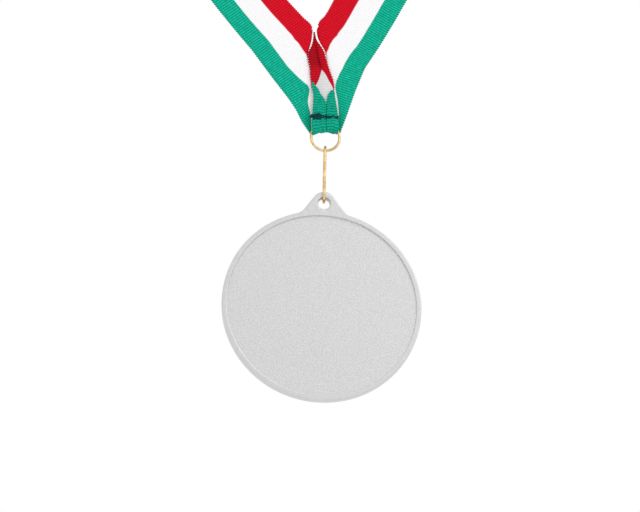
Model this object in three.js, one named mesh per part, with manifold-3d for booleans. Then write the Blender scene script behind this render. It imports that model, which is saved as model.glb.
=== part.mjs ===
// Sports finisher medal: a cast disc with a hanging tab, an oval link, a round ring, and a neck ribbon
// whose two ends are folded, passed through the ring and sewn. Millimetres, +Z up, the plain face
// of the medal towards -Y. The origin is where the ribbon's inner side rests on the nape of the neck.
import * as THREE from 'three';
import { mergeVertices } from 'three/addons/utils/BufferGeometryUtils.js';
import Module from 'manifold-3d';

const wasm = await Module();
wasm.setup();

// Medal casting.
const medalRadius = 35;
const medalThickness = 3;
const rimInnerRadius = 33.4;
const fieldRadius = 33.2;
const fieldDepth = 0.7;
const edgeBevel = 0.3;
const medalSides = 96;

// Hanging tab, measured from the medal's centre.
const tabHoleHeight = 38;
const tabHoleRadius = 2.2;
const tabTopRadius = 4.3;
const tabFlankAngle = THREE.MathUtils.degToRad(35.3);
const tabFilletTop = [6.9, 35.7];
const tabFlankFoot = [8.06, 34.06];
const tabBaseHalfWidth = 9.4;
const tabRootRadius = 34.1;

// Wire link and wire ring, to the middle of the wire.
const linkLength = 20.87;
const linkDepth = 5.5;
const linkWireRadius = 0.5;
const ringRadius = 5.1;
const ringWireRadius = 0.5;
const wireSides = 10;

// Play left between pieces that touch, and between metal wires that hang in each other.
const clothGap = 0.3;
const metalGap = 0.2;

// Ribbon, and its ends round the ring's top wire.
const ribbonWidth = 23;
const ribbonThickness = 0.8;
const foldedWidth = 8.2;
const foldedThickness = 2;
const foldLength = 40;
const ribbonSteps = 72;
const endWidth = 4.6;
const endSplit = 0.15;
const loopHalfDepth = 2.7;
const loopDrop = 3.2;
const seamHalfDepth = 1.7;
const cuffHalfDepth = 2.1;
const seamHeight = 7.3;
const seamHalfHeight = 1.1;
const cuffTop = 9.5;

// How far the ring swings in the ribbon ends each way, and the steps in which its room is cut.
const ringSwing = Math.PI / 4;
const swingCuts = 3;

// Thread of the seam.
const threadThickness = 0.8;
const threadHalfLength = 4.7;
const stitchWidth = 0.7;
const stitchPlaces = [-3.6, -1.3, 1.3, 3.6];

// Places in the object's frame.
const napeDepth = 131;
const dropToRing = 190;
const ringCentre = new THREE.Vector3(0, -napeDepth, -dropToRing);

// The ribbon's route, from the left sewn end over the left shoulder, behind the neck and back.
const ribbonRoute = [
  [-4.9, -130.4, -179.6],
  [-5.3, -130.4, -177],
  [-6.8, -130.5, -173.5],
  [-9.5, -130.7, -168],
  [-13.6, -130.9, -158],
  [-19.5, -131, -148.5],
  [-26.4, -131, -139.5],
  [-39, -131, -123],
  [-52, -131, -106],
  [-78.8, -131, -71],
  [-92.5, -130.5, -51.5],
  [-101.5, -126.5, -33],
  [-107.5, -115, -18],
  [-110, -97, -9],
  [-107, -74, -4],
  [-97, -51, -1.5],
  [-80, -30, -0.5],
  [-57, -14, 0],
  [-29, -3.5, 0],
  [0, 0.4, 0],
  [26, -3.5, 0],
  [50, -14, 0],
  [69, -30, -0.5],
  [81.5, -51, -1.5],
  [87, -74, -4],
  [86.5, -97, -9],
  [81, -115, -18],
  [72.5, -126.5, -33],
  [61.5, -130.5, -51.5],
  [50.3, -131, -71],
  [30.9, -131, -106],
  [21.6, -131, -123],
  [12.5, -131, -139.5],
  [7.9, -131, -148.5],
  [6.2, -130.9, -158],
  [5.3, -130.7, -168],
  [4.6, -130.5, -173.5],
  [4.1, -130.4, -177],
  [4, -130.4, -179.6],
];

const materials = {
  silver: new THREE.MeshStandardMaterial({ color: 0xd6d6d8, roughness: 0.42, metalness: 1 }),
  gold: new THREE.MeshStandardMaterial({ color: 0xe3c47c, roughness: 0.25, metalness: 1 }),
  ribbon: new THREE.MeshStandardMaterial({ color: 0x0aa07f, roughness: 0.8, metalness: 0 }),
  thread: new THREE.MeshStandardMaterial({ color: 0x005a5f, roughness: 0.75, metalness: 0 }),
};

// A closed geometry as a solid that can be joined and cut.
function solidFrom(geometry) {
  const bare = geometry.index ? geometry.toNonIndexed() : geometry.clone();
  bare.deleteAttribute('normal');
  bare.deleteAttribute('uv');
  const merged = mergeVertices(bare, 1e-4);
  return new wasm.Manifold(new wasm.Mesh({
    numProp: 3,
    vertProperties: new Float32Array(merged.attributes.position.array),
    triVerts: new Uint32Array(merged.index.array),
  }));
}

// The way back, for a mesh in the scene.
function geometryFrom(solid) {
  const result = solid.getMesh();
  const geometry = new THREE.BufferGeometry();
  geometry.setAttribute('position', new THREE.BufferAttribute(result.vertProperties, 3));
  geometry.setIndex(new THREE.BufferAttribute(result.triVerts, 1));
  geometry.computeVertexNormals();
  return geometry;
}

// A flat plate: an outline in X and Z, from the depth yFront to the depth yBack.
function plate(outline, yFront, yBack) {
  const geometry = new THREE.ExtrudeGeometry(outline, {
    depth: yBack - yFront,
    bevelEnabled: false,
    curveSegments: 14,
  });
  geometry.rotateX(Math.PI / 2);
  geometry.translate(0, yBack, 0);
  return geometry;
}

// A bar along X whose outline is drawn in Y and Z.
function barAlongX(outline, xLow, xHigh) {
  const geometry = new THREE.ExtrudeGeometry(outline, {
    depth: xHigh - xLow,
    bevelEnabled: false,
    curveSegments: 14,
  });
  const yAxis = new THREE.Vector3(0, 1, 0);
  const zAxis = new THREE.Vector3(0, 0, 1);
  const xAxis = new THREE.Vector3(1, 0, 0);
  geometry.applyMatrix4(new THREE.Matrix4().makeBasis(yAxis, zAxis, xAxis));
  geometry.translate(xLow, 0, 0);
  return geometry;
}

function outlineFrom(points) {
  return new THREE.Shape(points.map(([across, up]) => new THREE.Vector2(across, up)));
}

function namedMesh(name, geometry, material) {
  const mesh = new THREE.Mesh(geometry, material);
  mesh.name = name;
  return mesh;
}

// Disc with a recessed field on both faces, turned about Y, joined to the tab.
function medalGeometry() {
  const faceY = medalThickness / 2;
  const fieldY = faceY - fieldDepth;
  const rimEdge = medalRadius - edgeBevel;
  const profile = [
    [0, -fieldY],
    [fieldRadius, -fieldY],
    [rimInnerRadius, -faceY],
    [rimEdge, -faceY],
    [medalRadius, edgeBevel - faceY],
    [medalRadius, faceY - edgeBevel],
    [rimEdge, faceY],
    [rimInnerRadius, faceY],
    [fieldRadius, fieldY],
    [0, fieldY],
  ].map(([radius, y]) => new THREE.Vector2(radius, y));
  const disc = solidFrom(new THREE.LatheGeometry(profile, medalSides));
  const tab = solidFrom(plate(tabOutline(), -faceY, faceY));
  return geometryFrom(disc.add(tab));
}

// Round top, straight sloping flanks, and soft fillets that run out along the rim.
function tabOutline() {
  const baseHeight = Math.sqrt(medalRadius ** 2 - tabBaseHalfWidth ** 2) - edgeBevel;
  const rootAngle = Math.asin(tabBaseHalfWidth / tabRootRadius);
  const [filletX, filletHeight] = tabFilletTop;
  const [footX, footHeight] = tabFlankFoot;
  const outline = new THREE.Shape();
  outline.moveTo(tabBaseHalfWidth, baseHeight);
  outline.quadraticCurveTo(footX, footHeight, filletX, filletHeight);
  outline.absarc(0, tabHoleHeight, tabTopRadius, tabFlankAngle, Math.PI - tabFlankAngle, false);
  outline.lineTo(-filletX, filletHeight);
  outline.quadraticCurveTo(-footX, footHeight, -tabBaseHalfWidth, baseHeight);
  outline.absarc(0, 0, tabRootRadius, Math.PI / 2 + rootAngle, Math.PI / 2 - rootAngle, true);
  const hole = new THREE.Path();
  hole.absarc(0, tabHoleHeight, tabHoleRadius, 0, 2 * Math.PI, true);
  outline.holes.push(hole);
  return outline;
}

// A round torus whose upper and lower halves are drawn apart, which leaves straight sides between.
function linkGeometry() {
  const bendSteps = 24;
  const geometry = new THREE.TorusGeometry(linkDepth / 2, linkWireRadius, wireSides, bendSteps);
  geometry.rotateZ(Math.PI / bendSteps);
  const halfStraight = (linkLength - linkDepth) / 2;
  const position = geometry.attributes.position;
  for (let i = 0; i < position.count; i += 1) {
    position.setY(i, position.getY(i) + Math.sign(position.getY(i)) * halfStraight);
  }
  geometry.rotateX(Math.PI / 2);
  geometry.rotateZ(Math.PI / 2);
  return geometry;
}

function ringGeometry(wireRadius, ringSteps) {
  const geometry = new THREE.TorusGeometry(ringRadius, wireRadius, wireSides, ringSteps);
  geometry.rotateX(Math.PI / 2);
  return geometry;
}

// The room that the wire takes in the fabric as the ring swings about its highest point.
function wireRoom() {
  let room = null;
  for (let step = -swingCuts; step <= swingCuts; step += 1) {
    const wire = ringGeometry(ringWireRadius + clothGap, 32);
    wire.translate(0, 0, -ringRadius);
    wire.rotateX((ringSwing * step) / swingCuts);
    wire.translate(0, 0, ringRadius);
    room = room ? room.add(solidFrom(wire)) : solidFrom(wire);
  }
  return room;
}

// Section of a ribbon end: round under the ring's wire, pinched at the seam, open above it.
function endSection() {
  const grooveLow = seamHeight - seamHalfHeight - clothGap / 2;
  const grooveHigh = seamHeight + seamHalfHeight + clothGap / 2;
  const section = new THREE.Shape();
  section.moveTo(-cuffHalfDepth, cuffTop);
  section.lineTo(-cuffHalfDepth, grooveHigh + clothGap);
  section.lineTo(-seamHalfDepth, grooveHigh);
  section.lineTo(-seamHalfDepth, grooveLow);
  section.lineTo(-loopHalfDepth, ringRadius);
  section.absellipse(0, ringRadius, loopHalfDepth, loopDrop, Math.PI, 2 * Math.PI, false, 0);
  section.lineTo(seamHalfDepth, grooveLow);
  section.lineTo(seamHalfDepth, grooveHigh);
  section.lineTo(cuffHalfDepth, grooveHigh + clothGap);
  section.lineTo(cuffHalfDepth, cuffTop);
  section.closePath();
  return section;
}

// One ribbon end about the ring's centre: the loop, the flap turned up in front, and the wider
// folds behind, less the room for the ring's wire and the stitches.
function endGeometry(side, flapOutline, backOutline) {
  const ringSpan = 2 * ringRadius;
  const inner = side * endSplit;
  const outer = side * (endSplit + endWidth);
  const low = Math.min(inner, outer);
  const high = Math.max(inner, outer);
  const flapBack = 0.9;
  const loop = solidFrom(barAlongX(endSection(), low, high));
  const flap = solidFrom(plate(outlineFrom(flapOutline), -cuffHalfDepth, -flapBack));
  const folds = solidFrom(plate(outlineFrom(backOutline), 0.1, cuffHalfDepth));
  const groove = solidFrom(barAlongX(grooveOutline(), -ringSpan, ringSpan));
  let end = loop.add(flap).add(folds).subtract(wireRoom()).subtract(groove);
  for (const place of stitchPlaces) {
    const holeWidth = stitchWidth + 2 * clothGap;
    const hole = new THREE.BoxGeometry(holeWidth, ringSpan, holeWidth);
    hole.translate(place, 0, seamHeight);
    end = end.subtract(solidFrom(hole));
  }
  return geometryFrom(end);
}

// The groove that the thread pulls into the folds behind.
function grooveOutline() {
  const low = seamHeight - seamHalfHeight - clothGap / 2;
  const high = seamHeight + seamHalfHeight + clothGap / 2;
  return outlineFrom([
    [seamHalfDepth, low],
    [2 * loopHalfDepth, low],
    [2 * loopHalfDepth, high],
    [seamHalfDepth, high],
  ]);
}

// Two bars of thread, one on each side of the fabric, joined by stitches through it.
function threadGeometry() {
  const nearFabric = seamHalfDepth + clothGap;
  const barDepth = nearFabric + threadThickness / 2;
  let thread = null;
  for (const towards of [-1, 1]) {
    const bar = new THREE.BoxGeometry(2 * threadHalfLength, threadThickness, 2 * seamHalfHeight);
    bar.translate(0, towards * barDepth, 0);
    thread = thread ? thread.add(solidFrom(bar)) : solidFrom(bar);
  }
  for (const place of stitchPlaces) {
    const stitch = new THREE.BoxGeometry(stitchWidth, 2 * barDepth, stitchWidth);
    stitch.translate(place, 0, 0);
    thread = thread.add(solidFrom(stitch));
  }
  return geometryFrom(thread);
}

// Which way the ribbon's outer face looks: forward on the chest, outward and up over the
// shoulders, and backward behind the neck.
function faceDirection(point) {
  const turn = Math.PI * THREE.MathUtils.clamp((point.y + napeDepth) / napeDepth, 0, 1);
  const upwardShare = 0.6;
  return new THREE.Vector3(
    Math.sign(point.x) * Math.sin(turn),
    -Math.cos(turn),
    upwardShare * Math.sin(turn),
  );
}

// A long flat box laid along the route, narrow and thick near the sewn ends.
function ribbonGeometry() {
  const points = ribbonRoute.map(([x, y, z]) => new THREE.Vector3(x, y, z));
  const curve = new THREE.CatmullRomCurve3(points, false, 'centripetal');
  curve.arcLengthDivisions = 2000;
  const length = curve.getLength();
  const geometry = new THREE.BoxGeometry(length, 1, 1, ribbonSteps, 1, 1);
  const position = geometry.attributes.position;
  for (let i = 0; i < position.count; i += 1) {
    const along = THREE.MathUtils.clamp(position.getX(i) / length + 0.5, 0, 1);
    const fromEnd = Math.min(along, 1 - along) * length;
    const opened = Math.sin((Math.PI / 2) * Math.min(1, fromEnd / foldLength));
    const width = THREE.MathUtils.lerp(foldedWidth, ribbonWidth, opened);
    const thickness = THREE.MathUtils.lerp(foldedThickness, ribbonThickness, opened);
    const centre = curve.getPointAt(along);
    const tangent = curve.getTangentAt(along);
    const across = new THREE.Vector3().crossVectors(faceDirection(centre), tangent).normalize();
    const outward = new THREE.Vector3().crossVectors(tangent, across);
    centre.addScaledVector(across, position.getY(i) * width);
    centre.addScaledVector(outward, position.getZ(i) * thickness);
    position.setXYZ(i, centre.x, centre.y, centre.z);
  }
  return geometry;
}

// The two ends differ as folded cloth does: the left flap rises to a point, the right one is rounder.
const leftFlap = [[-4.6, 9], [-4.6, 19.2], [-3.9, 19.4], [-0.15, 12.4], [-0.15, 9]];
const rightFlap = [[0.15, 9], [4.6, 9], [3.6, 15.4], [2, 17], [0.15, 14.2]];
const leftBack = [[-4.6, 3], [-9.2, cuffTop], [-0.15, cuffTop], [-0.15, 3]];
const rightBack = [[4.6, 3], [0.15, 3], [0.15, cuffTop], [7.8, cuffTop]];

const linkTop = -ringRadius + ringWireRadius + metalGap + linkWireRadius;
const linkCentre = linkTop - linkLength / 2;
const linkBottom = linkTop - linkLength;
const bendRadius = linkDepth / 2;
const bendInside = Math.sqrt((bendRadius - linkWireRadius) ** 2 - (medalThickness / 2) ** 2);
const tabHoleCentre = linkBottom + bendRadius - bendInside + metalGap - tabHoleRadius;

const suspension = new THREE.Group();
suspension.position.copy(ringCentre);

const ribbonRing = namedMesh('ribbon_ring', ringGeometry(ringWireRadius, 48), materials.gold);
const connectingLink = namedMesh('connecting_link', linkGeometry(), materials.gold);
connectingLink.position.z = linkCentre;
const medalBody = namedMesh('medal_body', medalGeometry(), materials.silver);
medalBody.position.z = tabHoleCentre - tabHoleHeight;
const endLeft = namedMesh('ribbon_end_left', endGeometry(-1, leftFlap, leftBack), materials.ribbon);
const endRight = namedMesh('ribbon_end_right', endGeometry(1, rightFlap, rightBack), materials.ribbon);
const seamThread = namedMesh('seam_thread', threadGeometry(), materials.thread);
seamThread.position.z = seamHeight;
suspension.add(endLeft, endRight, seamThread, ribbonRing, connectingLink, medalBody);

const neckRibbon = namedMesh('neck_ribbon', ribbonGeometry(), materials.ribbon);

const medal = new THREE.Group();
medal.add(neckRibbon, suspension);

export default medal;
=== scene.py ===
import math

import bpy
import numpy as np
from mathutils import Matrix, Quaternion, Vector


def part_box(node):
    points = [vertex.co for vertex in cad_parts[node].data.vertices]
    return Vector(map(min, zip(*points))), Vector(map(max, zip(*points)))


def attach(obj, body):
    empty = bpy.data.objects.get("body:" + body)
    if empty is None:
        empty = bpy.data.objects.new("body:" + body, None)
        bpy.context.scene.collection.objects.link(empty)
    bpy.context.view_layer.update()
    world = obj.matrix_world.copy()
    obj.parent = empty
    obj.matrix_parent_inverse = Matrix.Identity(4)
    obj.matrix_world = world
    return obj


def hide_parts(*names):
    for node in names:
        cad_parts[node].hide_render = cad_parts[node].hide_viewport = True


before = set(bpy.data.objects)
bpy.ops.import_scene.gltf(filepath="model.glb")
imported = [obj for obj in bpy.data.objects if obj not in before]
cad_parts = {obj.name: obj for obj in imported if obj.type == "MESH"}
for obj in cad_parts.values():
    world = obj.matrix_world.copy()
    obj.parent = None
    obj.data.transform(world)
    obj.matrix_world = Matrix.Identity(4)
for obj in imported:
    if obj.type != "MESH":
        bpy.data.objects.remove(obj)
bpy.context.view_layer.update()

# ---------------------------------------------------------------------------------------------
# Camera: a long lens a metre away, below the medal and a little to its left, looking up at it.
# ---------------------------------------------------------------------------------------------
mm = 0.001
ring_low, ring_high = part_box("ribbon_ring")
ring_centre = np.array((ring_low + ring_high) / 2)


def from_ring(points):
    """Points given in millimetres from the ring's centre, as metres in the frame."""
    return ring_centre + mm * np.asarray(points, float)


camera_distance = 1000 * mm
view_width = 224.8 * mm
azimuth, elevation, roll = np.radians((-5.6, -20.5, 1.27))
aim = from_ring((-0.95, 0, -45.17))
camera_data = bpy.data.cameras.new("camera")
camera_data.sensor_width = 36
camera_data.lens = camera_data.sensor_width * camera_distance / view_width
camera_data.dof.use_dof = False
camera = bpy.data.objects.new("camera", camera_data)
bpy.context.scene.collection.objects.link(camera)
towards_camera = np.array((
    math.sin(azimuth) * math.cos(elevation),
    -math.cos(azimuth) * math.cos(elevation),
    math.sin(elevation),
))
camera.location = aim + camera_distance * towards_camera
upright = Vector(towards_camera).to_track_quat("Z", "Y")
camera.rotation_euler = (upright @ Quaternion((0, 0, 1), roll)).to_euler()
bpy.context.scene.camera = camera


# ---------------------------------------------------------------------------------------------
# Neck ribbon: one length of grosgrain, 23 mm wide, woven green, white and red with a rib across
# it at every weft. It is worn as a closed loop; near the ring each leg has its inner half turned
# behind it, so that both legs are narrow enough to pass through the ring side by side.
# ---------------------------------------------------------------------------------------------
ribbon_width = 23.0
ribbon_thickness = 0.5
rib_pitch = 0.93
rib_height = 0.045
selvedge_tooth = 0.17
green_edge = 7.0
white_edge = 15.0
fold_radius = 0.45
ribbon_columns = 24
# Painted shade: the reverse face of the ribbon is dimmed by this share.
reverse_painted_shade = .2

# The free loop's centreline, from the left sewn end to the right one, in metres.
route = np.array([
    (-.0049, -.1304, -.1796), (-.0053, -.1304, -.177), (-.0068, -.1305, -.1735), (-.0095, -.1307, -.168),
    (-.0136, -.1309, -.158), (-.0195, -.131, -.1485), (-.0264, -.131, -.1395), (-.039, -.131, -.123),
    (-.052, -.131, -.106), (-.0788, -.131, -.071), (-.0925, -.1305, -.0515), (-.1015, -.1265, -.033),
    (-.1075, -.115, -.018), (-.11, -.097, -.009), (-.107, -.074, -.004), (-.097, -.051, -.0015),
    (-.08, -.03, -.0005), (-.057, -.014, 0), (-.029, -.0035, 0), (0, .0004, 0), (.026, -.0035, 0),
    (.05, -.014, 0), (.069, -.03, -.0005), (.0815, -.051, -.0015), (.087, -.074, -.004),
    (.0865, -.097, -.009), (.081, -.115, -.018), (.0725, -.1265, -.033), (.0615, -.1305, -.0515),
    (.0503, -.131, -.071), (.0309, -.131, -.106), (.0216, -.131, -.123), (.0125, -.131, -.1395),
    (.0079, -.131, -.1485), (.0062, -.1309, -.158), (.0053, -.1307, -.168), (.0046, -.1305, -.1735),
    (.0041, -.1304, -.177), (.004, -.1304, -.1796),
])


def unit(vectors):
    """Vectors scaled to length one."""
    return vectors / np.linalg.norm(vectors, axis=-1, keepdims=True)


def distance_along(points):
    """Straight-line distance from the first point to each, added up along the points."""
    steps = np.linalg.norm(np.diff(points, axis=0), axis=-1)
    return np.concatenate([[0], np.cumsum(steps)])


def smooth_through(places, values, wanted):
    """Cubic curve through values at places: between two of them it leaves and arrives with the
    slopes of the chords round each, h00*a + h10*m + h01*b + h11*n on the unit interval."""
    places, values = np.asarray(places, float), np.asarray(values, float)
    slopes = np.gradient(values, places, axis=0)
    i = np.clip(np.searchsorted(places, wanted) - 1, 0, len(places) - 2)
    step = places[i + 1] - places[i]
    t = (wanted - places[i]) / step
    shape = (-1,) + (1,) * (values.ndim - 1)
    t, step = t.reshape(shape), step.reshape(shape)
    return ((2 * t**3 - 3 * t**2 + 1) * values[i] + (t**3 - 2 * t**2 + t) * step * slopes[i]
            + (3 * t**2 - 2 * t**3) * values[i + 1] + (t**3 - t**2) * step * slopes[i + 1])


def ease(value):
    """0 below 0, 1 above 1, and 3v^2 - 2v^3 between."""
    value = np.clip(value, 0, 1)
    return value * value * (3 - 2 * value)


def mesh_piece(name, vertices, quads, slot, body):
    """A mesh object from vertices in metres and quads, riding on a body."""
    mesh = bpy.data.meshes.new(name)
    mesh.from_pydata(np.asarray(vertices, float), [], np.asarray(quads, int).tolist())
    mesh.polygons.foreach_set("use_smooth", np.full(len(mesh.polygons), True))
    mesh.validate()
    mesh.update()
    piece = bpy.data.objects.new(name, mesh)
    bpy.context.scene.collection.objects.link(piece)
    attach(piece, body)
    return piece


def tube_quads(rows, around, first=0):
    """Quads of a grid of rows, each a ring of points, open at both ends."""
    row, column = np.meshgrid(np.arange(rows - 1), np.arange(around), indexing="ij")
    after = (column + 1) % around
    corners = [row * around + column, row * around + after,
               (row + 1) * around + after, (row + 1) * around + column]
    return first + np.stack(corners, -1).reshape(-1, 4)


def flat_caps(rows, around, first=0):
    """Quads that close both ends of a flat tube, whose ring is a face and then its back."""
    j = np.arange(around // 2 - 1)
    start = np.stack([j + 1, j, around - 1 - j, around - 2 - j], -1)
    end = (rows - 1) * around + start[:, ::-1]
    return first + np.concatenate([start, end])


def cloth_shell(middle, thickness, relief):
    """A sheet given by its middle surface, as a closed shell: each point moves along the surface
    normal, forward on the face and backward on the reverse, by half the thickness plus relief."""
    along, across = np.gradient(middle, axis=0), np.gradient(middle, axis=1)
    normal = unit(np.cross(across, along))
    offset = (thickness / 2 + relief)[..., None] * normal
    return np.concatenate([middle + offset, (middle - offset)[:, ::-1]], axis=1)


def weave_attribute(piece, across, ribs, painted_shade_share):
    """Stores, for the material, millimetres from the green selvedge, ribs along, and how much
    painted shade dims the cloth there, as a share."""
    values = np.stack(np.broadcast_arrays(across, ribs, painted_shade_share), -1).reshape(-1, 3)
    attribute = piece.data.attributes.new("weave", "FLOAT_VECTOR", "POINT")
    attribute.data.foreach_set("vector", values.astype(np.float32).ravel())


def askew(points):
    """Sewn cloth laid out square to the ring, then stretched and slanted as it hangs: x takes
    1.036 of itself and loses 0.025 of the height, the height takes 1.072 of itself and 0.073 of x."""
    x, y, z = np.moveaxis(np.asarray(points, float), -1, 0)
    return from_ring(np.stack([1.0365 * x - .0247 * z + .1, y, .0732 * x + 1.0722 * z - .12], -1))


def leg_stations(side):
    """Rows of a leg near the ring, from under its wire upwards: the outer selvedge, the edge of
    the green stripe, the fold or inner selvedge, and how much of the width is in front."""
    if side < 0:
        rows = [
            ((-5.0, 0.5, 1.9), (-4.6, .5, 2.1), (-3.3, .6, 2.3), 11.5),
            ((-5.2, 1.3, 2.2), (-4.75, 1.5, 2.7), (-3.4, 1.5, 3.3), 11.5),
            ((-6.1, 1.2, 3.4), (-4.8, 1.5, 4.5), (-3.6, 1.5, 5.4), 11.5),
            ((-8.2, .5, 6.3), (-5.15, .7, 8.6), (-3.9, .8, 9.6), 11),
            ((-10.1, .1, 10.0), (-6.1, .2, 13.2), (-4.2, .2, 14.6), 11),
            ((-12.7, 0, 14.1), (-5.5, 0, 18.0), (-4.7, 0, 18.8), 10.5),
            ((-15.1, 0, 17.4), (-8.9, 0, 21.5), (-5.1, 0, 24.3), 13.0),
            ((-18.5, 0, 22.0), (-13.1, 0, 25.9), (-6.2, 0, 30.9), 16.0),
            ((-20.4, 0, 24.7), (-15.0, 0, 28.6), (-5.0, 0, 35.9), 19.9),
            ((-22.4, 0, 27.5), (-17.0, 0, 31.4), (-4.6, 0, 40.4), 23),
            ((-25.2, 0, 31.5), (-19.8, 0, 35.4), (-7.8, 0, 44.2), 23),
            ((-29.9, 0, 37.4), (-24.7, 0, 41.2), (-12.8, 0, 49.9), 23),
            ((-38.2, 0, 48.1), (-33.0, 0, 51.9), (-21.1, 0, 60.5), 23),
        ]
    else:
        rows = [
            ((4.8, .5, 1.9), (4.5, .5, 2.1), (3.3, .6, 2.3), 11.5),
            ((5.1, 1.3, 2.2), (4.75, 1.5, 2.7), (3.4, 1.5, 3.3), 11.5),
            ((5.7, 1.2, 3.6), (4.65, 1.5, 4.5), (3.2, 1.5, 5.2), 11.5),
            ((7.1, .5, 7.2), (4.7, .7, 8.6), (3.2, .8, 9.4), 11),
            ((8.4, .1, 11.0), (4.3, .2, 12.7), (2.6, .2, 13.7), 11),
            ((10.3, 0, 16.5), (3.4, 0, 18.8), (2.0, 0, 19.4), 10.0),
            ((12.7, 0, 22.6), (5.95, 0, 25.3), (.6, 0, 27.7), 13.6),
            ((13.8, 0, 25.2), (7.5, 0, 28.4), (.2, 0, 31.6), 15.7),
            ((15.3, 0, 27.6), (9.2, 0, 31.1), (-2.5, 0, 37.3), 20.7),
            ((16.6, 0, 29.6), (10.8, 0, 33.1), (-2.5, 0, 41.4), 23),
            ((18.9, 0, 33.2), (13.1, 0, 36.7), (0, 0, 44.9), 23),
            ((23.0, 0, 40.1), (17.15, 0, 43.7), (3.8, 0, 52.0), 23),
            ((30.2, 0, 53.0), (24.3, 0, 56.6), (10.9, 0, 64.9), 23),
        ]
    points = np.array([[outer, green, fold] for outer, green, fold, _ in rows], float)
    return askew(points), np.array([front for *_, front in rows], float)


def face_direction(points):
    """Which way the outer face looks: forward on the legs, outward and up over the shoulders,
    backward at the nape, turning by half a turn as y goes from the chest to the nape."""
    chest = ring_centre[1]
    turn = math.pi * np.clip((points[:, 1] - chest) / -chest, 0, 1)
    return np.stack([np.sign(points[:, 0]) * np.sin(turn), -np.cos(turn), .6 * np.sin(turn)], -1)


def loop_stations():
    """Rows of the unfolded part: the route's points with half the width on both sides."""
    tangent = unit(np.gradient(route, distance_along(route), axis=0))
    outward = unit(np.cross(face_direction(route), tangent)) * ribbon_width / 2 * mm
    outer, inner = route + outward, route - outward
    green = outer + (inner - outer) * green_edge / ribbon_width
    flat = slice(8, -9)
    return np.stack([outer, green, inner], 1)[flat]


left_points, left_front = leg_stations(-1)
right_points, right_front = leg_stations(1)
loop_points = loop_stations()
stations = np.concatenate([left_points, loop_points, right_points[::-1]])
fronts = np.concatenate([left_front, np.full(len(loop_points), ribbon_width), right_front[::-1]])
station_places = distance_along(stations.mean(1)) / mm
total_ribs = int(station_places[-1] / rib_pitch)
row_places = np.linspace(0, station_places[-1], 2 * total_ribs + 1)
rows = smooth_through(station_places, stations, row_places)
front_width = np.interp(row_places, station_places, fronts)[:, None]
outer, green, fold = rows[:, 0], rows[:, 1], rows[:, 2]

# How tightly each row is folded, and where its columns lie across the ribbon.
behind = ribbon_width - front_width
radius = np.minimum(fold_radius, .28 * behind)
arc = math.pi * radius
front_columns, arc_columns = 12, 5
back_columns = ribbon_columns - front_columns - arc_columns
evenly = np.linspace(0, ribbon_width, ribbon_columns)[None]
folded = np.concatenate([
    (front_width - arc / 2) * np.linspace(0, 1, front_columns, endpoint=False)[None],
    front_width + arc * (np.linspace(0, 1, arc_columns)[None] - .5),
    front_width + arc / 2 + (behind - arc / 2) * np.linspace(0, 1, back_columns + 1)[None, 1:],
], axis=1)
width_place = evenly + (folded - evenly) * ease(behind / 3)

# In front: straight from the selvedge to the fold, with the green stripe's edge on the way.
inward = unit(fold - green)
fold_start = fold - inward * radius * mm
on_green = np.clip(width_place / green_edge, 0, 1)[..., None]
past_green = np.clip((width_place - green_edge) / (front_width - arc / 2 - green_edge), 0, 1)[..., None]
surface = outer[:, None] + (green - outer)[:, None] * on_green
surface = surface + (fold_start - green)[:, None] * past_green

# The fold: a half circle towards the back. Behind it: back under the front half, mirrored.
turned = np.clip((width_place - front_width + arc / 2) / np.maximum(arc, 1e-6), 0, 1)
backward = np.array((0, 1, 0))
surface = surface + (inward[:, None] * (np.sin(math.pi * turned) * radius * mm)[..., None])
surface = surface + backward * ((1 - np.cos(math.pi * turned)) * radius * mm)[..., None]
run_back = np.clip(width_place - front_width - arc / 2, 0, None)
front_length = np.linalg.norm(fold - outer, axis=1, keepdims=True) / mm
squeeze = np.minimum(1, front_length / np.maximum(behind, 1e-6) * .86)
droop = np.array((0, 0, -1))
back_direction = unit(-inward * np.array((1, 0, -.3)) + .1 * droop)
surface = surface + back_direction[:, None] * (run_back * squeeze * mm)[..., None]

# Teeth along both selvedges, where the weft turns back at every rib.
ridge_or_groove = np.where(np.arange(len(row_places)) % 2 == 0, 1, -1)[:, None]
tooth = ridge_or_groove * selvedge_tooth * mm
surface[:, 0] += unit(outer - green) * tooth
surface[:, -1] += unit(surface[:, -1] - surface[:, -2]) * tooth

thinned_selvedge = -.35 * ribbon_thickness / 2 * mm
relief = ridge_or_groove * rib_height / 2 * mm * np.ones_like(width_place)
relief[:, [0, -1]] = thinned_selvedge
shell = cloth_shell(surface, ribbon_thickness * mm, relief)
ring_size = shell.shape[1]
ribbon_quads = np.concatenate([
    tube_quads(len(shell), ring_size),
    flat_caps(len(shell), ring_size),
])
neck_ribbon = mesh_piece("ribbon_loop", shell.reshape(-1, 3), ribbon_quads, "ribbon", "ribbon")
weave_attribute(
    neck_ribbon,
    np.concatenate([width_place, width_place[:, ::-1]], axis=1),
    (row_places / rib_pitch)[:, None],
    np.repeat([0., reverse_painted_shade], ribbon_columns)[None],
)
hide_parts("neck_ribbon")


def new_material(name):
    """An empty node material and short ways to add and join nodes in it."""
    material = bpy.data.materials.new(name)
    material.use_nodes = True
    return material, material.node_tree.nodes, material.node_tree.links


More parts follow.
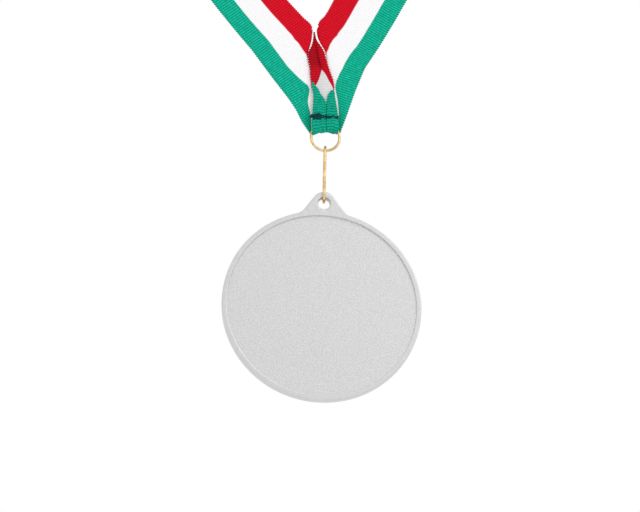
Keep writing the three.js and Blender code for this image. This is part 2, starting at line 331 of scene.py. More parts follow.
def grosgrain_material():
    """Ribbed cloth: stripes from the distance across, a rounded rib at every weft with painted shade
    in the groove between, fine warp threads of uneven tone, and painted shade where the weave attribute
    asks for it; matt, with hardly any gloss."""
    material, nodes, links = new_material("grosgrain")
    shader = nodes["Principled BSDF"]
    weave = nodes.new("ShaderNodeAttribute")
    weave.attribute_name = "weave"
    parts = nodes.new("ShaderNodeSeparateXYZ")
    links.new(weave.outputs["Vector"], parts.inputs[0])

    def value(operation, first, second=0.0):
        node = nodes.new("ShaderNodeMath")
        node.operation = operation
        for socket, source in zip(node.inputs, (first, second)):
            if isinstance(source, (int, float)):
                socket.default_value = source
            else:
                links.new(source, socket)
        return node.outputs[0]

    place = nodes.new("ShaderNodeCombineXYZ")
    links.new(value("MULTIPLY", parts.outputs["X"], 3.2), place.inputs[0])
    links.new(value("MULTIPLY", parts.outputs["Y"], .35), place.inputs[1])
    warp = nodes.new("ShaderNodeTexNoise")
    warp.inputs["Scale"].default_value = 1.0
    warp.inputs["Detail"].default_value = 2.0
    links.new(place.outputs[0], warp.inputs["Vector"])

    wobble = value("MULTIPLY", value("SUBTRACT", warp.outputs[0], .5), .012)
    across = value("ADD", value("DIVIDE", parts.outputs["X"], ribbon_width), wobble)
    soft = .006
    colours = []
    for green, white, red in (groove_shade_colours, ridge_colours):
        stripes = nodes.new("ShaderNodeValToRGB")
        ramp = stripes.color_ramp
        first, second = green_edge / ribbon_width, white_edge / ribbon_width
        stops = [(0, green), (first - soft, green), (first + soft, white),
                 (second - soft, white), (second + soft, red), (1, red)]
        while len(ramp.elements) < len(stops):
            ramp.elements.new(.5)
        for element, (position, colour) in zip(ramp.elements, stops):
            element.position = position
            element.color = (*colour, 1)
        links.new(across, stripes.inputs[0])
        colours.append(stripes.outputs[0])

    rib = value("ABSOLUTE", value("COSINE", value("MULTIPLY", parts.outputs["Y"], math.pi)))
    rib = value("POWER", rib, .8)
    thread_light = value("ADD", value("MULTIPLY", warp.outputs[0], 1.1), -.05)
    # Painted shade: the grooves between the ribs take the groove colours, the ridges the ridge colours.
    groove_shaded_mix = nodes.new("ShaderNodeMix")
    groove_shaded_mix.data_type = "RGBA"
    links.new(value("MULTIPLY", rib, thread_light), groove_shaded_mix.inputs["Factor"])
    links.new(colours[0], groove_shaded_mix.inputs["A"])
    links.new(colours[1], groove_shaded_mix.inputs["B"])
    # Painted shade: the colour is scaled by one less the weave attribute's third value.
    painted_shade_scaled = nodes.new("ShaderNodeVectorMath")
    painted_shade_scaled.operation = "SCALE"
    links.new(groove_shaded_mix.outputs["Result"], painted_shade_scaled.inputs[0])
    links.new(value("SUBTRACT", 1.0, parts.outputs["Z"]), painted_shade_scaled.inputs["Scale"])
    links.new(painted_shade_scaled.outputs[0], shader.inputs["Base Color"])

    height = value("ADD", rib, value("MULTIPLY", warp.outputs[0], .35))
    bump = nodes.new("ShaderNodeBump")
    bump.inputs["Distance"].default_value = .12 * mm
    bump.inputs["Strength"].default_value = .8
    links.new(height, bump.inputs["Height"])
    links.new(bump.outputs[0], shader.inputs["Normal"])
    shader.inputs["Roughness"].default_value = .72
    shader.inputs["Specular IOR Level"].default_value = .06
    return material


# Ridge colours are the cloth's own; groove colours are the same dimmed, as painted shade in the grooves
# between ribs.
groove_shade_colours = (.0005, .19, .10), (.90, .885, .90), (.46, .001, .008)
ridge_colours = (.012, .80, .56), (.97, .97, .98), (.92, .010, .034)
grosgrain = grosgrain_material()
neck_ribbon.data.materials.append(grosgrain)

# ---------------------------------------------------------------------------------------------
# Pleat: where the legs narrow, the slack of the cloth stands between them as a pleat with its
# two red selvedges outward, a sharp crease between, and the white stripes below the crease.
# ---------------------------------------------------------------------------------------------
pleat_low, pleat_high = 9.6, 38.6
pleat_rows = 2 * int((pleat_high - pleat_low) / rib_pitch) + 1
pleat_height = np.linspace(pleat_low, pleat_high, pleat_rows)


def along_height(*pairs):
    """Values given at heights in millimetres, joined by a smooth curve, one for each pleat row."""
    heights, values = np.array(sorted(pairs), float).T
    return smooth_through(heights, values, pleat_height)


left_selvedge = along_height((9.6, -3.8), (12, -3.9), (16, -4.3), (18.9, -4.9), (20.4, -5.05), (23, -5.3),
                             (25.5, -5.45), (28.5, -6.0), (31, -6.0), (33.2, -4.95), (35.8, -4.15),
                             (38.6, -4.0))
right_selvedge = along_height((9.6, 3.6), (12, 3.3), (16.5, 2.8), (18.2, 2.85), (20.4, 2.6), (23, 1.75),
                              (25.5, .9), (28.5, .15), (31, -.4), (33.2, -1.5), (35.8, -3.2),
                              (38.6, -3.75))
crease = along_height((9.6, 0), (12, 0), (18, -.6), (24.8, -1.25), (28.5, -2.1), (31, -2.6),
                      (33.2, -3.0), (38.6, -3.88))
below_crease = pleat_height < 24.8
left_red = np.where(below_crease, along_height(
    (9.6, -3.7), (16, -4.2), (18.2, -3.7), (20.4, -2.6), (23, -1.75), (24.8, -1.35), (38.6, -1)), crease)
right_red = np.where(below_crease, along_height(
    (9.6, 3.5), (16.5, 2.75), (18.2, 2.3), (20.4, 1.15), (23, -.1), (24.8, -1.15), (38.6, -2)), crease)
left_red = np.minimum(left_red, crease - .04)
right_red = np.maximum(right_red, crease + .04)
edge_depth = along_height((9.6, -.85), (17, -.9), (27, -.8), (31, -.55), (34, -.3), (38.6, 0))
crease_depth = along_height((9.6, -.75), (18, -.6), (23, -.3), (26, .4), (30, .75), (34, .5), (38.6, .1))
red_at_crease = np.where(below_crease, white_edge, white_edge + .6)
half_steps = 5


def between(first, second, steps, last=False):
    """Columns from first to second in even steps."""
    share = np.linspace(0, 1, steps, endpoint=last)[None]
    return first[:, None] + (second - first)[:, None] * share


def pleat_columns(*stops):
    """Columns through several stops, half_steps between each pair."""
    parts = [between(a, b, half_steps) for a, b in zip(stops[:-2], stops[1:-1])]
    return np.concatenate([*parts, between(stops[-2], stops[-1], half_steps + 1, last=True)], axis=1)


pleat_x = pleat_columns(left_selvedge, left_red, crease, right_red, right_selvedge)
whole = np.full(pleat_rows, ribbon_width)
left_white = red_at_crease - np.where(below_crease, crease - left_red, 0)
right_white = red_at_crease - np.where(below_crease, right_red - crease, 0)
centre_white = np.minimum(left_white, right_white)
pleat_across = pleat_columns(whole, red_at_crease, centre_white, red_at_crease, whole)
towards_left = np.clip((crease[:, None] - pleat_x) / (crease - left_selvedge)[:, None], 0, 1)
towards_right = np.clip((pleat_x - crease[:, None]) / (right_selvedge - crease)[:, None], 0, 1)
open_share = (towards_left + towards_right) ** .8
pleat_y = crease_depth[:, None] + (edge_depth - crease_depth)[:, None] * open_share
pleat_ridge = np.where(np.arange(pleat_rows) % 2 == 0, 1, -1)
pleat_tooth = pleat_ridge * 1.4 * selvedge_tooth
pleat_x[:, 0] -= pleat_tooth
pleat_x[:, -1] += pleat_tooth
pleat_surface = askew(np.stack(np.broadcast_arrays(pleat_x, pleat_y, pleat_height[:, None]), -1))
pleat_relief = pleat_ridge[:, None] * rib_height / 2 * mm * np.ones_like(pleat_x)
pleat_relief[:, [0, -1]] = thinned_selvedge


def cloth_piece(name, surface, relief, across, ribs, shade, upward=False):
    """A closed sheet of the ribbon's cloth, riding with the ribbon, with its weave attribute."""
    if upward:
        surface, relief, across = surface[::-1], relief[::-1], across[::-1]
        ribs, shade = ribs[::-1], shade[::-1]
    shell = cloth_shell(surface, ribbon_thickness * mm, relief)
    ring_size = shell.shape[1]
    quads = np.concatenate([tube_quads(len(shell), ring_size), flat_caps(len(shell), ring_size)])
    piece = mesh_piece(name, shell.reshape(-1, 3), quads, "ribbon", "ribbon")
    weave_attribute(
        piece,
        np.concatenate([across, across[:, ::-1]], axis=1),
        ribs[:, None],
        # The reverse face gets a further tenth of painted shade.
        np.concatenate([shade, shade[:, ::-1] + .1], axis=1),
    )
    piece.data.materials.append(grosgrain)
    return piece


# Painted shade on the pleat: deepest beside the crease, strong on its left half, light on the right, and
# faint below the top of the white stripes.
above_white = ease((pleat_height - 24) / 3)
crease_shade = np.where(np.arange(pleat_x.shape[1]) < 2 * half_steps, .3, .08)
crease_shade[half_steps:2 * half_steps] = .74
crease_shade[2 * half_steps:3 * half_steps + 1] = .5
pleat_shade = .06 + (crease_shade[None] - .06) * (.15 + .85 * above_white[:, None])
cloth_piece("ribbon_pleat", pleat_surface, pleat_relief, pleat_across,
            pleat_height / rib_pitch, shade=pleat_shade, upward=True)

# ---------------------------------------------------------------------------------------------
# Sewn ends: the ribbon's two green ends go round the top of the ring's wire from behind, turn up
# in front and are left as raw tails above the seam, the left one cut to a long point.
# ---------------------------------------------------------------------------------------------
left_tail = [
    (-1.45, 19.2, -4.75, -4.3), (-1.5, 18.3, -4.8, -3.55), (-1.5, 16.5, -4.5, -2.45),
    (-1.5, 14.3, -4.4, -1.15), (-1.5, 12.1, -4.4, .05), (-1.6, 10.4, -4.5, .07),
    (-1.75, 9.1, -4.65, .07), (-1.4, 7.1, -4.85, .07), (-1.95, 5.4, -5.0, .07),
    (-2.3, 4.1, -5.0, .07), (-1.8, 2.9, -4.8, .07), (-.3, 2.3, -4.6, .07), (1.3, 2.8, -4.6, .07),
    (2.1, 4.0, -4.7, .07), (1.9, 5.5, -4.7, .07), (1.4, 7.1, -4.7, .07), (1.8, 8.9, -4.7, .07),
    (1.6, 11.0, -4.6, .07), (1.4, 12.6, -4.4, .07),
]
right_tail = [
    (-1.4, 16.7, 2.0, 2.7), (-1.45, 16.0, 1.3, 2.95), (-1.45, 14.6, .6, 3.1),
    (-1.45, 12.9, .3, 3.4), (-1.55, 11.0, .2, 3.7), (-1.7, 9.1, .15, 3.95), (-1.4, 7.1, .15, 4.2),
    (-1.9, 5.4, .15, 4.35), (-2.25, 4.1, .15, 4.4), (-1.8, 2.9, .15, 4.35), (-.3, 2.3, .15, 4.3),
    (1.3, 2.8, .15, 4.5), (2.1, 4.0, .15, 4.6), (1.9, 5.5, .15, 4.6), (1.4, 7.1, .15, 4.6),
    (1.8, 8.9, .15, 4.6), (1.6, 10.8, .15, 4.5), (1.4, 12.0, .15, 4.3),
]
tail_columns = 12
wire_sag = .045
tail_bulge = .18


def sewn_end(name, node, stations, waviness):
    """A strip carried along a path in depth and height, between a left and a right edge, bulging
    towards the outside, and sagging with the square of x where it goes round the wire."""
    stations = np.array(stations, float)
    places = distance_along(stations[:, :2])
    count = 2 * int(places[-1] / rib_pitch) + 1
    wanted = np.linspace(0, places[-1], count)
    depth, height, left, right = smooth_through(places, stations, wanted).T
    share = np.linspace(0, 1, tail_columns)[None]
    x = left[:, None] + (right - left)[:, None] * share
    wave = waviness * (np.sin(2.3 * x + .7 * wanted[:, None]) + .6 * np.sin(5.1 * x - 1.3 * wanted[:, None]))
    around_wire = ease((6 - height) / 3)[:, None]
    z = height[:, None] - wire_sag * x**2 * around_wire + wave
    y = depth[:, None] + np.sign(depth)[:, None] * tail_bulge * (4 * share * (1 - share))
    strip = askew(np.stack([x, y, z], -1))
    ridge = np.where(np.arange(count) % 2 == 0, 1.6, -1.6)[:, None] * rib_height * mm * np.ones_like(x)
    ridge[:, [0, -1]] = -.5 * ribbon_thickness / 2 * mm
    across = .6 + 5.2 * share * np.ones_like(x)
    piece = cloth_piece(name, strip, ridge, across, wanted / rib_pitch, np.full(x.shape, .05))
    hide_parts(node)


sewn_end("ribbon_tail_left", "ribbon_end_left", left_tail, .15)
sewn_end("ribbon_tail_right", "ribbon_end_right", right_tail, .14)

# ---------------------------------------------------------------------------------------------
# Seam: dark green thread run back and forth through all layers just above the ring, wound up
# into a knot at the left, on both sides of the cloth.
# ---------------------------------------------------------------------------------------------
thread_radius = .2
thread_sides = 8


def wire_along(points, radius, sides):
    """A round tube: at each point a circle in the plane square to the path, turned from the
    direction along it and a fixed side direction. It ends nearly in a point, by its radius."""
    tangent = unit(np.gradient(points, axis=0))
    side = unit(np.cross(tangent, np.array((.31, .77, .56))))
    other = np.cross(tangent, side)
    angle = np.linspace(0, 2 * math.pi, sides, endpoint=False)
    circle = np.cos(angle)[None, :, None] * side[:, None] + np.sin(angle)[None, :, None] * other[:, None]
    return points[:, None] + radius[:, None, None] * circle


def tube_mesh(grids, closed=False):
    """Vertices and quads of several tubes of points; closed ones meet themselves."""
    vertices, quads, first = [], [], 0
    for grid in grids:
        rows, around = grid.shape[:2]
        part = tube_quads(rows, around)
        if closed:
            part = part % ((rows - 1) * around)
            grid = grid[:-1]
        vertices.append(grid.reshape(-1, 3))
        quads.append(part + first)
        first += grid.shape[0] * around
    return np.concatenate(vertices), np.concatenate(quads)


def stitch_line(height_start, height_end, first, last, depth, phase):
    """One pass of thread: a line from first to last that dips into the cloth every 1.3 mm."""
    x = np.linspace(first, last, 90)
    share = (x - first) / (last - first)
    z = height_start + (height_end - height_start) * share + .12 * np.sin(3.1 * x + phase)
    y = depth * (1 - .16 * (np.sin(2.4 * x + phase) > .75))
    return np.stack([x, y, z], -1)


def knot_loop(place, size, tilt, turns, phase):
    """A tangle: turns round a slanted oval whose size swells and shrinks, drawn in by its depth."""
    t = np.linspace(0, 2 * math.pi * turns, 70 * turns)
    swell = size * (.7 + .3 * np.sin(1.37 * t + phase))
    x = place[0] + swell * np.cos(t + phase)
    z = place[2] + .8 * swell * np.sin(t * 1.09 + tilt)
    y = place[1] + .22 * np.sin(2.3 * t + phase)
    return np.stack([x, y, z], -1)


thread_runs = []
for depth in (-1.95, 1.95):
    thread_runs += [
        stitch_line(7.5, 7.0, -4.9, 4.5, depth, 0),
        stitch_line(7.05, 6.6, -4.6, 4.5, depth, 1.9),
        stitch_line(6.6, 6.2, -4.7, 4.4, depth, 3.1),
        stitch_line(6.1, 6.0, -4.4, -.2, depth, 4.0),
        knot_loop((-3.2, depth * 1.08, 6.95), 1.3, .4, 7, 0),
        knot_loop((-3.0, depth * 1.18, 6.9), .9, 1.3, 6, 2),
        knot_loop((-4.9, depth * .85, 7.3), .7, 2.0, 4, 1),
    ]
thread_grids = []
for run in thread_runs:
    thickness = np.full(len(run), thread_radius)
    thickness[[0, -1]] = .01
    thread_grids.append(wire_along(askew(run), thickness * mm, thread_sides))
thread = mesh_piece("seam_stitches", *tube_mesh(thread_grids), "thread", "ribbon")
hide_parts("seam_thread")


def thread_material():
    """Twisted thread: dark teal with fine slanted plies and uneven dye."""
    material, nodes, links = new_material("teal_thread")
    shader = nodes["Principled BSDF"]
    place = nodes.new("ShaderNodeTexCoord")
    plies = nodes.new("ShaderNodeTexWave")
    plies.inputs["Scale"].default_value = 900
    plies.inputs["Distortion"].default_value = 2.5
    links.new(place.outputs["Object"], plies.inputs["Vector"])
    dye = nodes.new("ShaderNodeTexNoise")
    dye.inputs["Scale"].default_value = 1400
    links.new(place.outputs["Object"], dye.inputs["Vector"])
    mix = nodes.new("ShaderNodeMix")
    mix.data_type = "RGBA"
    mix.inputs["A"].default_value = (.0008, .018, .026, 1)
    mix.inputs["B"].default_value = (.002, .085, .085, 1)
    links.new(dye.outputs[0], mix.inputs["Factor"])
    links.new(mix.outputs["Result"], shader.inputs["Base Color"])
    bump = nodes.new("ShaderNodeBump")
    bump.inputs["Distance"].default_value = .05 * mm
    links.new(plies.outputs["Fac"], bump.inputs["Height"])
    links.new(bump.outputs[0], shader.inputs["Normal"])
    shader.inputs["Roughness"].default_value = .7
    shader.inputs["Specular IOR Level"].default_value = .15
    return material


thread.data.materials.append(thread_material())

# ---------------------------------------------------------------------------------------------
# Ring: round brass wire bent into a circle, its two ends meeting in a fine cut at the lower left.
# ---------------------------------------------------------------------------------------------
ring_radius, ring_wire = 5.1, .5
cut_angle, cut_half_width, cut_depth = math.radians(215), .07, .3
turn = np.linspace(0, 2 * math.pi, 360, endpoint=False)
turn = np.sort(np.concatenate([turn, cut_angle + np.array((-.02, -.01, -.005, .005, .01, .02))]))
from_cut = np.abs(turn - cut_angle) * ring_radius
ring_wire_radius = ring_wire * (1 - cut_depth * np.exp(-(from_cut / cut_half_width) ** 2))
ring_path = ring_radius * np.stack([np.cos(turn), 0 * turn, np.sin(turn)], -1)


def round_wire(centres, middle, radii, sides):
    """A closed wire bent in one plane: circles spanned by the direction from the bend's middle
    and the plane's normal."""
    tangent = unit(np.roll(centres, -1, 0) - np.roll(centres, 1, 0))
    normal = unit(np.cross(tangent[0], centres[0] - middle))
    outward = np.cross(normal, tangent)
    angle = np.linspace(0, 2 * math.pi, sides, endpoint=False)
    circle = np.cos(angle)[None, :, None] * outward[:, None] + np.sin(angle)[None, :, None] * normal
    grid = centres[:, None] + radii[:, None, None] * circle
    return np.concatenate([grid, grid[:1]])


ring_grid = round_wire(from_ring(ring_path), from_ring((0, 0, 0)), ring_wire_radius * mm, 28)
ring = mesh_piece("brass_ring", *tube_mesh([ring_grid], closed=True), "gold_wire", "ring")
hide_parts("ribbon_ring")


def brass_material():
    """Bright drawn brass with faint marks, and broad dim patches in its colour as painted reflections."""
    material, nodes, links = new_material("bright_brass")
    shader = nodes["Principled BSDF"]
    place = nodes.new("ShaderNodeTexCoord")
    marks = nodes.new("ShaderNodeTexNoise")
    marks.inputs["Scale"].default_value = 900
    marks.inputs["Detail"].default_value = 4
    links.new(place.outputs["Object"], marks.inputs["Vector"])
    tint = nodes.new("ShaderNodeValToRGB")
    tint.color_ramp.elements[0].position = .3
    tint.color_ramp.elements[0].color = (.72, .50, .21, 1)
    tint.color_ramp.elements[1].position = .7
    tint.color_ramp.elements[1].color = (.93, .77, .47, 1)
    links.new(marks.outputs[0], tint.inputs[0])
    # Painted reflections: broad patches that dim the brass colour, in place of an uneven surround mirrored in
    # the wire.
    reflection_patches = nodes.new("ShaderNodeTexNoise")
    reflection_patches.inputs["Scale"].default_value = 260
    reflection_patches.inputs["Detail"].default_value = 2
    links.new(place.outputs["Object"], reflection_patches.inputs["Vector"])
    painted_reflection_tone = nodes.new("ShaderNodeValToRGB")
    painted_reflection_tone.color_ramp.elements[0].position = .36
    painted_reflection_tone.color_ramp.elements[0].color = (.72, .66, .58, 1)
    painted_reflection_tone.color_ramp.elements[1].position = .62
    painted_reflection_tone.color_ramp.elements[1].color = (1.0, 1.0, 1.0, 1)
    links.new(reflection_patches.outputs[0], painted_reflection_tone.inputs[0])
    patchy = nodes.new("ShaderNodeMix")
    patchy.data_type = "RGBA"
    patchy.blend_type = "MULTIPLY"
    patchy.inputs["Factor"].default_value = 1.0
    links.new(tint.outputs[0], patchy.inputs["A"])
    links.new(painted_reflection_tone.outputs[0], patchy.inputs["B"])
    links.new(patchy.outputs["Result"], shader.inputs["Base Color"])
    bump = nodes.new("ShaderNodeBump")
    bump.inputs["Distance"].default_value = .01 * mm
    bump.inputs["Strength"].default_value = .5
    links.new(marks.outputs[0], bump.inputs["Height"])
    links.new(bump.outputs[0], shader.inputs["Normal"])
    shader.inputs["Metallic"].default_value = 1
    shader.inputs["Roughness"].default_value = .22
    return material


brass = brass_material()
ring.data.materials.append(brass)

# ---------------------------------------------------------------------------------------------
# Link: the same brass wire, bent to a long oval with straight sides. It hangs edge on, turned a
# little, with one bend round the ring and the other through the tab of the medal.
# ---------------------------------------------------------------------------------------------
link_length, link_depth, link_wire, link_top = 20.87, 5.5, .5, -3.9
link_middle = link_top - link_length / 2
bend = link_depth / 2
half_straight = link_length / 2 - bend
upper = np.linspace(0, math.pi, 49)
straight = np.linspace(1, -1, 25)[1:-1]
link_y = np.concatenate([bend * np.cos(upper), np.full(23, -bend), -bend * np.cos(upper), np.full(23, bend)])
link_z = np.concatenate([half_straight + bend * np.sin(upper), half_straight * straight,
                         -half_straight - bend * np.sin(upper), -half_straight * straight])
link_path = np.stack([0 * link_y, link_y, link_middle + link_z], -1)
link_turn = math.radians(-3.5)
link_path[:, 0] = -link_path[:, 1] * math.sin(link_turn)
link_path[:, 1] = link_path[:, 1] * math.cos(link_turn)
link_grid = round_wire(from_ring(link_path), from_ring((0, 0, link_middle)),
                       np.full(len(link_path), link_wire * mm), 24)
link = mesh_piece("brass_link", *tube_mesh([link_grid], closed=True), "gold_wire", "link")
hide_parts("connecting_link")
link.data.materials.append(brass)

# ---------------------------------------------------------------------------------------------
# Medal: a cast zinc disc plated in matt silver, with a smooth raised rim and a hanging tab. The
# front field is plain and sandblasted; the rear field carries a low laurel wreath, polished.
# ---------------------------------------------------------------------------------------------
medal_centre = -63.697
medal_radius, half_thickness = 35.0, 1.5
field_level, wreath_height = .8, .62
tab_height, tab_top_radius = 38.0, 4.3
flank_angle = math.radians(35.3)
fillet_top, flank_foot, tab_base = (6.9, 35.7), (8.06, 34.06), 9.4
tab_hole = 2.2


def tab_radius(angle):
    """Distance from the medal's centre to its outline at an angle from straight up: the disc's
    radius, or the tab: a fillet (a quadratic curve), a straight flank, and an arc round the hole."""
    foot = np.array((tab_base, math.sqrt(medal_radius**2 - tab_base**2)))
    t = np.linspace(0, 1, 40)[:, None]
    fillet = (1 - t) ** 2 * foot + 2 * t * (1 - t) * np.array(flank_foot) + t**2 * np.array(fillet_top)
    bow = np.linspace(flank_angle, math.pi / 2, 60)[:, None]
    top = np.concatenate([tab_top_radius * np.cos(bow), tab_height + tab_top_radius * np.sin(bow)], 1)
    flank = np.array(fillet_top) + (top[0] - np.array(fillet_top)) * t[1:-1]
    outline = np.concatenate([fillet, flank, top])
    angles = np.arctan2(outline[:, 0], outline[:, 1])[::-1]
    reach = np.hypot(outline[:, 0], outline[:, 1])[::-1]
    return np.maximum(medal_radius, np.interp(np.abs(angle), angles, reach, right=medal_radius))


fine = np.linspace(-.29, .29, 150, endpoint=False)
coarse = np.linspace(.29, 2 * math.pi - .29, 400, endpoint=False)
medal_angle = np.concatenate([fine, coarse])
wrapped = (medal_angle + math.pi) % (2 * math.pi) - math.pi
stretch = tab_radius(wrapped) - medal_radius

# Rows from the middle of the front to the middle of the back: radius, depth, share of the tab.
field_steps = np.linspace(.6, 33.2, 30)
edge = [(33.24, .83, 0), (33.34, 1.4, 0), (33.38, 1.46, 0), (33.46, half_thickness, 0)]
rim = [(33.6 + 1.1 * share, half_thickness, share) for share in np.linspace(0, 1, 9)]
corner = [(34.82, 1.48, 1), (34.93, 1.40, 1), (34.99, 1.28, 1), (medal_radius, 1.1, 1)]
front_rows = [(r, field_level, 0) for r in field_steps] + edge + rim + corner
profile = np.array([(r, -y, s) for r, y, s in front_rows] + [(r, y, s) for r, y, s in front_rows[::-1]])
back_fine = np.linspace(33.2, .6, 106)
back_field = np.array([(r, field_level, 0) for r in back_fine])
profile = np.concatenate([profile[:-len(field_steps)], back_field])
row_radius = profile[:, :1] + profile[:, 2:] * stretch[None]
medal_x = row_radius * np.sin(medal_angle)
medal_z = row_radius * np.cos(medal_angle)
medal_y = profile[:, 1:2] * np.ones_like(medal_x)


def leaf(x, z, at, heading, length, width):
    """Height of one leaf: a lens shape that rises to a rounded middle with a groove along it."""
    along = (x - at[0]) * math.cos(heading) + (z - at[1]) * math.sin(heading)
    aside = -(x - at[0]) * math.sin(heading) + (z - at[1]) * math.cos(heading)
    share = np.clip(along / length, 0, 1)
    half = width * np.sin(math.pi * share**.8) + 1e-6
    inside = (along > 0) & (along < length) & (np.abs(aside) < half)
    dome = np.sqrt(np.clip(1 - (aside / half) ** 2, 0, 1))
    groove = 1 - .45 * np.exp(-(aside / .22) ** 2)
    return np.where(inside, dome * groove * (.45 + .55 * np.sin(math.pi * share)), 0)


def wreath(x, z):
    """Height of two laurel branches that rise from the foot of the field on both sides."""
    height = np.zeros_like(x)
    bough = 23.5
    for side in (-1, 1):
        for place in np.linspace(.12, 2.45, 13):
            at = (side * bough * math.sin(place), -bough * math.cos(place))
            ahead = math.atan2(math.sin(place), side * math.cos(place))
            for lean, size in ((-.7, 1), (.7, 1), (0, .8)):
                heading = ahead + side * lean
                height = np.maximum(height, leaf(x, z, at, heading, 5.6 * size, 1.15 * size))
        angle = np.arctan2(side * x, -z)
        stem = np.clip(1 - np.abs(np.hypot(x, z) - bough) / .4, 0, 1)
        height = np.maximum(height, .5 * np.sqrt(stem) * ((angle > .06) & (angle < 2.5)))
    return height


back = slice(len(profile) - len(back_fine), None)
medal_y[back] += wreath_height * wreath(medal_x[back], medal_z[back])
medal_grid = from_ring(np.stack([medal_x, medal_y, medal_z + medal_centre], -1))
around = len(medal_angle)
medal_quads = tube_quads(len(profile), around)
poles = from_ring([(0, -field_level, medal_centre), (0, field_level, medal_centre)])
medal_vertices = np.concatenate([medal_grid.reshape(-1, 3), poles])
j = np.arange(around)
last = (len(profile) - 1) * around
fan_front = np.stack([np.full(around, len(medal_vertices) - 2), (j + 1) % around, j], -1)
fan_back = np.stack([np.full(around, len(medal_vertices) - 1), last + j, last + (j + 1) % around], -1)
medal_mesh = bpy.data.meshes.new("silver_medal")
faces = medal_quads.tolist() + fan_front.tolist() + fan_back.tolist()
medal_mesh.from_pydata(medal_vertices, [], faces)
medal_mesh.update()

# Which finish each face has, in the order that the materials are added below.
sandblasted, smooth, polished, leafy = range(4)
field_edge, step_edge = 33.1, 33.4
zone = np.select([profile[:-1, 0] < field_edge, profile[:-1, 0] < step_edge], [sandblasted, polished], smooth)
zone = np.repeat(zone, around).reshape(-1, around)
raised = wreath(medal_x[back], medal_z[back]) > .12
zone[-len(back_fine) + 1:][raised[:-1] & raised[1:]] = leafy
zone = np.concatenate([zone.ravel(), np.full(2 * around, sandblasted)])
medal = bpy.data.objects.new("silver_medal", medal_mesh)
bpy.context.scene.collection.objects.link(medal)


def silver_material(name, grain, grain_depth, roughness, contrast, tone=.61):
    """Matt silver plating over a cast surface: fine grain that catches the light as sparkles."""
    material, nodes, links = new_material(name)
    shader = nodes["Principled BSDF"]
    place = nodes.new("ShaderNodeTexCoord")
    speck = nodes.new("ShaderNodeTexNoise")
    speck.inputs["Scale"].default_value = grain
    speck.inputs["Detail"].default_value = 3
    speck.inputs["Roughness"].default_value = .65
    links.new(place.outputs["Object"], speck.inputs["Vector"])
    cloud = nodes.new("ShaderNodeTexNoise")
    cloud.inputs["Scale"].default_value = 60
    cloud.inputs["Detail"].default_value = 3
    links.new(place.outputs["Object"], cloud.inputs["Vector"])
    tint = nodes.new("ShaderNodeValToRGB")
    tint.color_ramp.elements[0].position = .35
    dull, bright = tone - contrast, tone + contrast
    tint.color_ramp.elements[0].color = (dull, dull, dull + .003, 1)
    tint.color_ramp.elements[1].position = .65
    tint.color_ramp.elements[1].color = (bright, bright, bright + .003, 1)
    links.new(speck.outputs[0], tint.inputs[0])
    links.new(tint.outputs[0], shader.inputs["Base Color"])
    polish = nodes.new("ShaderNodeMapRange")
    polish.inputs["To Min"].default_value = roughness - .06
    polish.inputs["To Max"].default_value = roughness + .06
    links.new(cloud.outputs[0], polish.inputs[0])
    links.new(polish.outputs[0], shader.inputs["Roughness"])
    bump = nodes.new("ShaderNodeBump")
    bump.inputs["Distance"].default_value = grain_depth * mm
    bump.inputs["Strength"].default_value = 1
    links.new(speck.outputs[0], bump.inputs["Height"])
    links.new(bump.outputs[0], shader.inputs["Normal"])
    shader.inputs["Metallic"].default_value = 1
    return material


medal_mesh.materials.append(silver_material("sandblasted_silver", 2300, .045, .42, .085))
medal_mesh.materials.append(silver_material("smooth_silver", 900, .003, .32, .025))
# The recess step is polished, and its lighter tone is a painted highlight along it.
medal_mesh.materials.append(silver_material("polished_step_painted_highlight", 900, .001, .24, .03, .7))
medal_mesh.materials.append(silver_material("polished_leaf", 900, .002, .25, .03, .76))
medal_mesh.polygons.foreach_set("material_index", zone.astype(np.int32))
medal_mesh.polygons.foreach_set("use_smooth", np.full(len(medal_mesh.polygons), True))

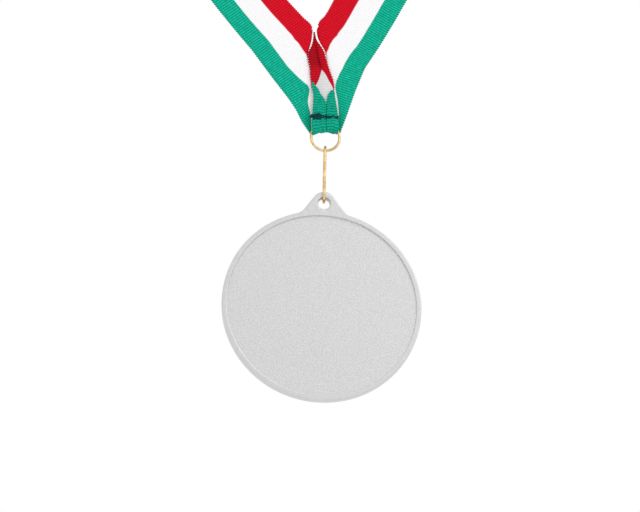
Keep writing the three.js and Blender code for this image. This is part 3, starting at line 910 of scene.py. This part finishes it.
# The hole through the tab, flared at both faces, is cut out of the disc.
hole_profile = np.array([(.01, -2.5), (2.6, -2.5), (2.6, -1.56), (2.4, -1.48), (2.25, -1.35),
                         (tab_hole, -1.2), (tab_hole, 1.2), (2.25, 1.35), (2.4, 1.48), (2.6, 1.56),
                         (2.6, 2.5), (.01, 2.5)])
hole_sides, hole_rows = 72, len(hole_profile)
round_angle = np.linspace(0, 2 * math.pi, hole_sides, endpoint=False)
hole_grid = np.stack([
    hole_profile[:, :1] * np.sin(round_angle), hole_profile[:, 1:] * np.ones_like(round_angle),
    medal_centre + tab_height + hole_profile[:, :1] * np.cos(round_angle)], -1)
hole_mesh = bpy.data.meshes.new("tab_hole")
hole_quads = tube_quads(hole_rows, hole_sides).tolist()
ends = [list(range(hole_sides)), list(range((hole_rows - 1) * hole_sides, hole_rows * hole_sides))[::-1]]
hole_mesh.from_pydata(from_ring(hole_grid.reshape(-1, 3)), [], hole_quads + ends)
hole_mesh.update()
cutter = bpy.data.objects.new("tab_hole", hole_mesh)
bpy.context.scene.collection.objects.link(cutter)
cut = medal.modifiers.new("hole", "BOOLEAN")
cut.operation = "DIFFERENCE"
cut.solver = "EXACT"
cut.object = cutter
bpy.context.view_layer.update()
finished = bpy.data.meshes.new_from_object(medal.evaluated_get(bpy.context.evaluated_depsgraph_get()))
medal.modifiers.clear()
medal.data = finished
bpy.data.objects.remove(cutter)
finished.set_sharp_from_angle(angle=math.radians(30))
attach(medal, "medal")
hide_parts("medal_body")

# ---------------------------------------------------------------------------------------------
# Light and floor: a white sweep all round, a soft key from the upper right, a pale floor below.
# ---------------------------------------------------------------------------------------------
world = bpy.data.worlds.new("studio")
bpy.context.scene.world = world
world.use_nodes = True
world.node_tree.nodes["Background"].inputs["Color"].default_value = (1, 1, 1, 1)
world.node_tree.nodes["Background"].inputs["Strength"].default_value = 1.0
bpy.context.scene.view_settings.view_transform = "Standard"

key_data = bpy.data.lights.new("key", "AREA")
key_data.size = .7
key_data.energy = 1.6
key = bpy.data.objects.new("key", key_data)
key.location = (.55, -1.0, .45)
key.rotation_euler = (math.radians(55), 0, math.radians(29))
bpy.context.scene.collection.objects.link(key)

floor_level = -.75
floor_half = 30.0
floor_mesh = bpy.data.meshes.new("floor")
floor_mesh.from_pydata([(-floor_half, -floor_half, floor_level), (floor_half, -floor_half, floor_level),
                        (floor_half, floor_half, floor_level), (-floor_half, floor_half, floor_level)],
                       [], [(0, 1, 2, 3)])
floor = bpy.data.objects.new("floor", floor_mesh)
bpy.context.scene.collection.objects.link(floor)
floor_material = new_material("pale_floor")[0]
floor_shader = floor_material.node_tree.nodes["Principled BSDF"]
floor_shader.inputs["Base Color"].default_value = (.97, .97, .97, 1)
floor_shader.inputs["Roughness"].default_value = .8
floor_mesh.materials.append(floor_material)
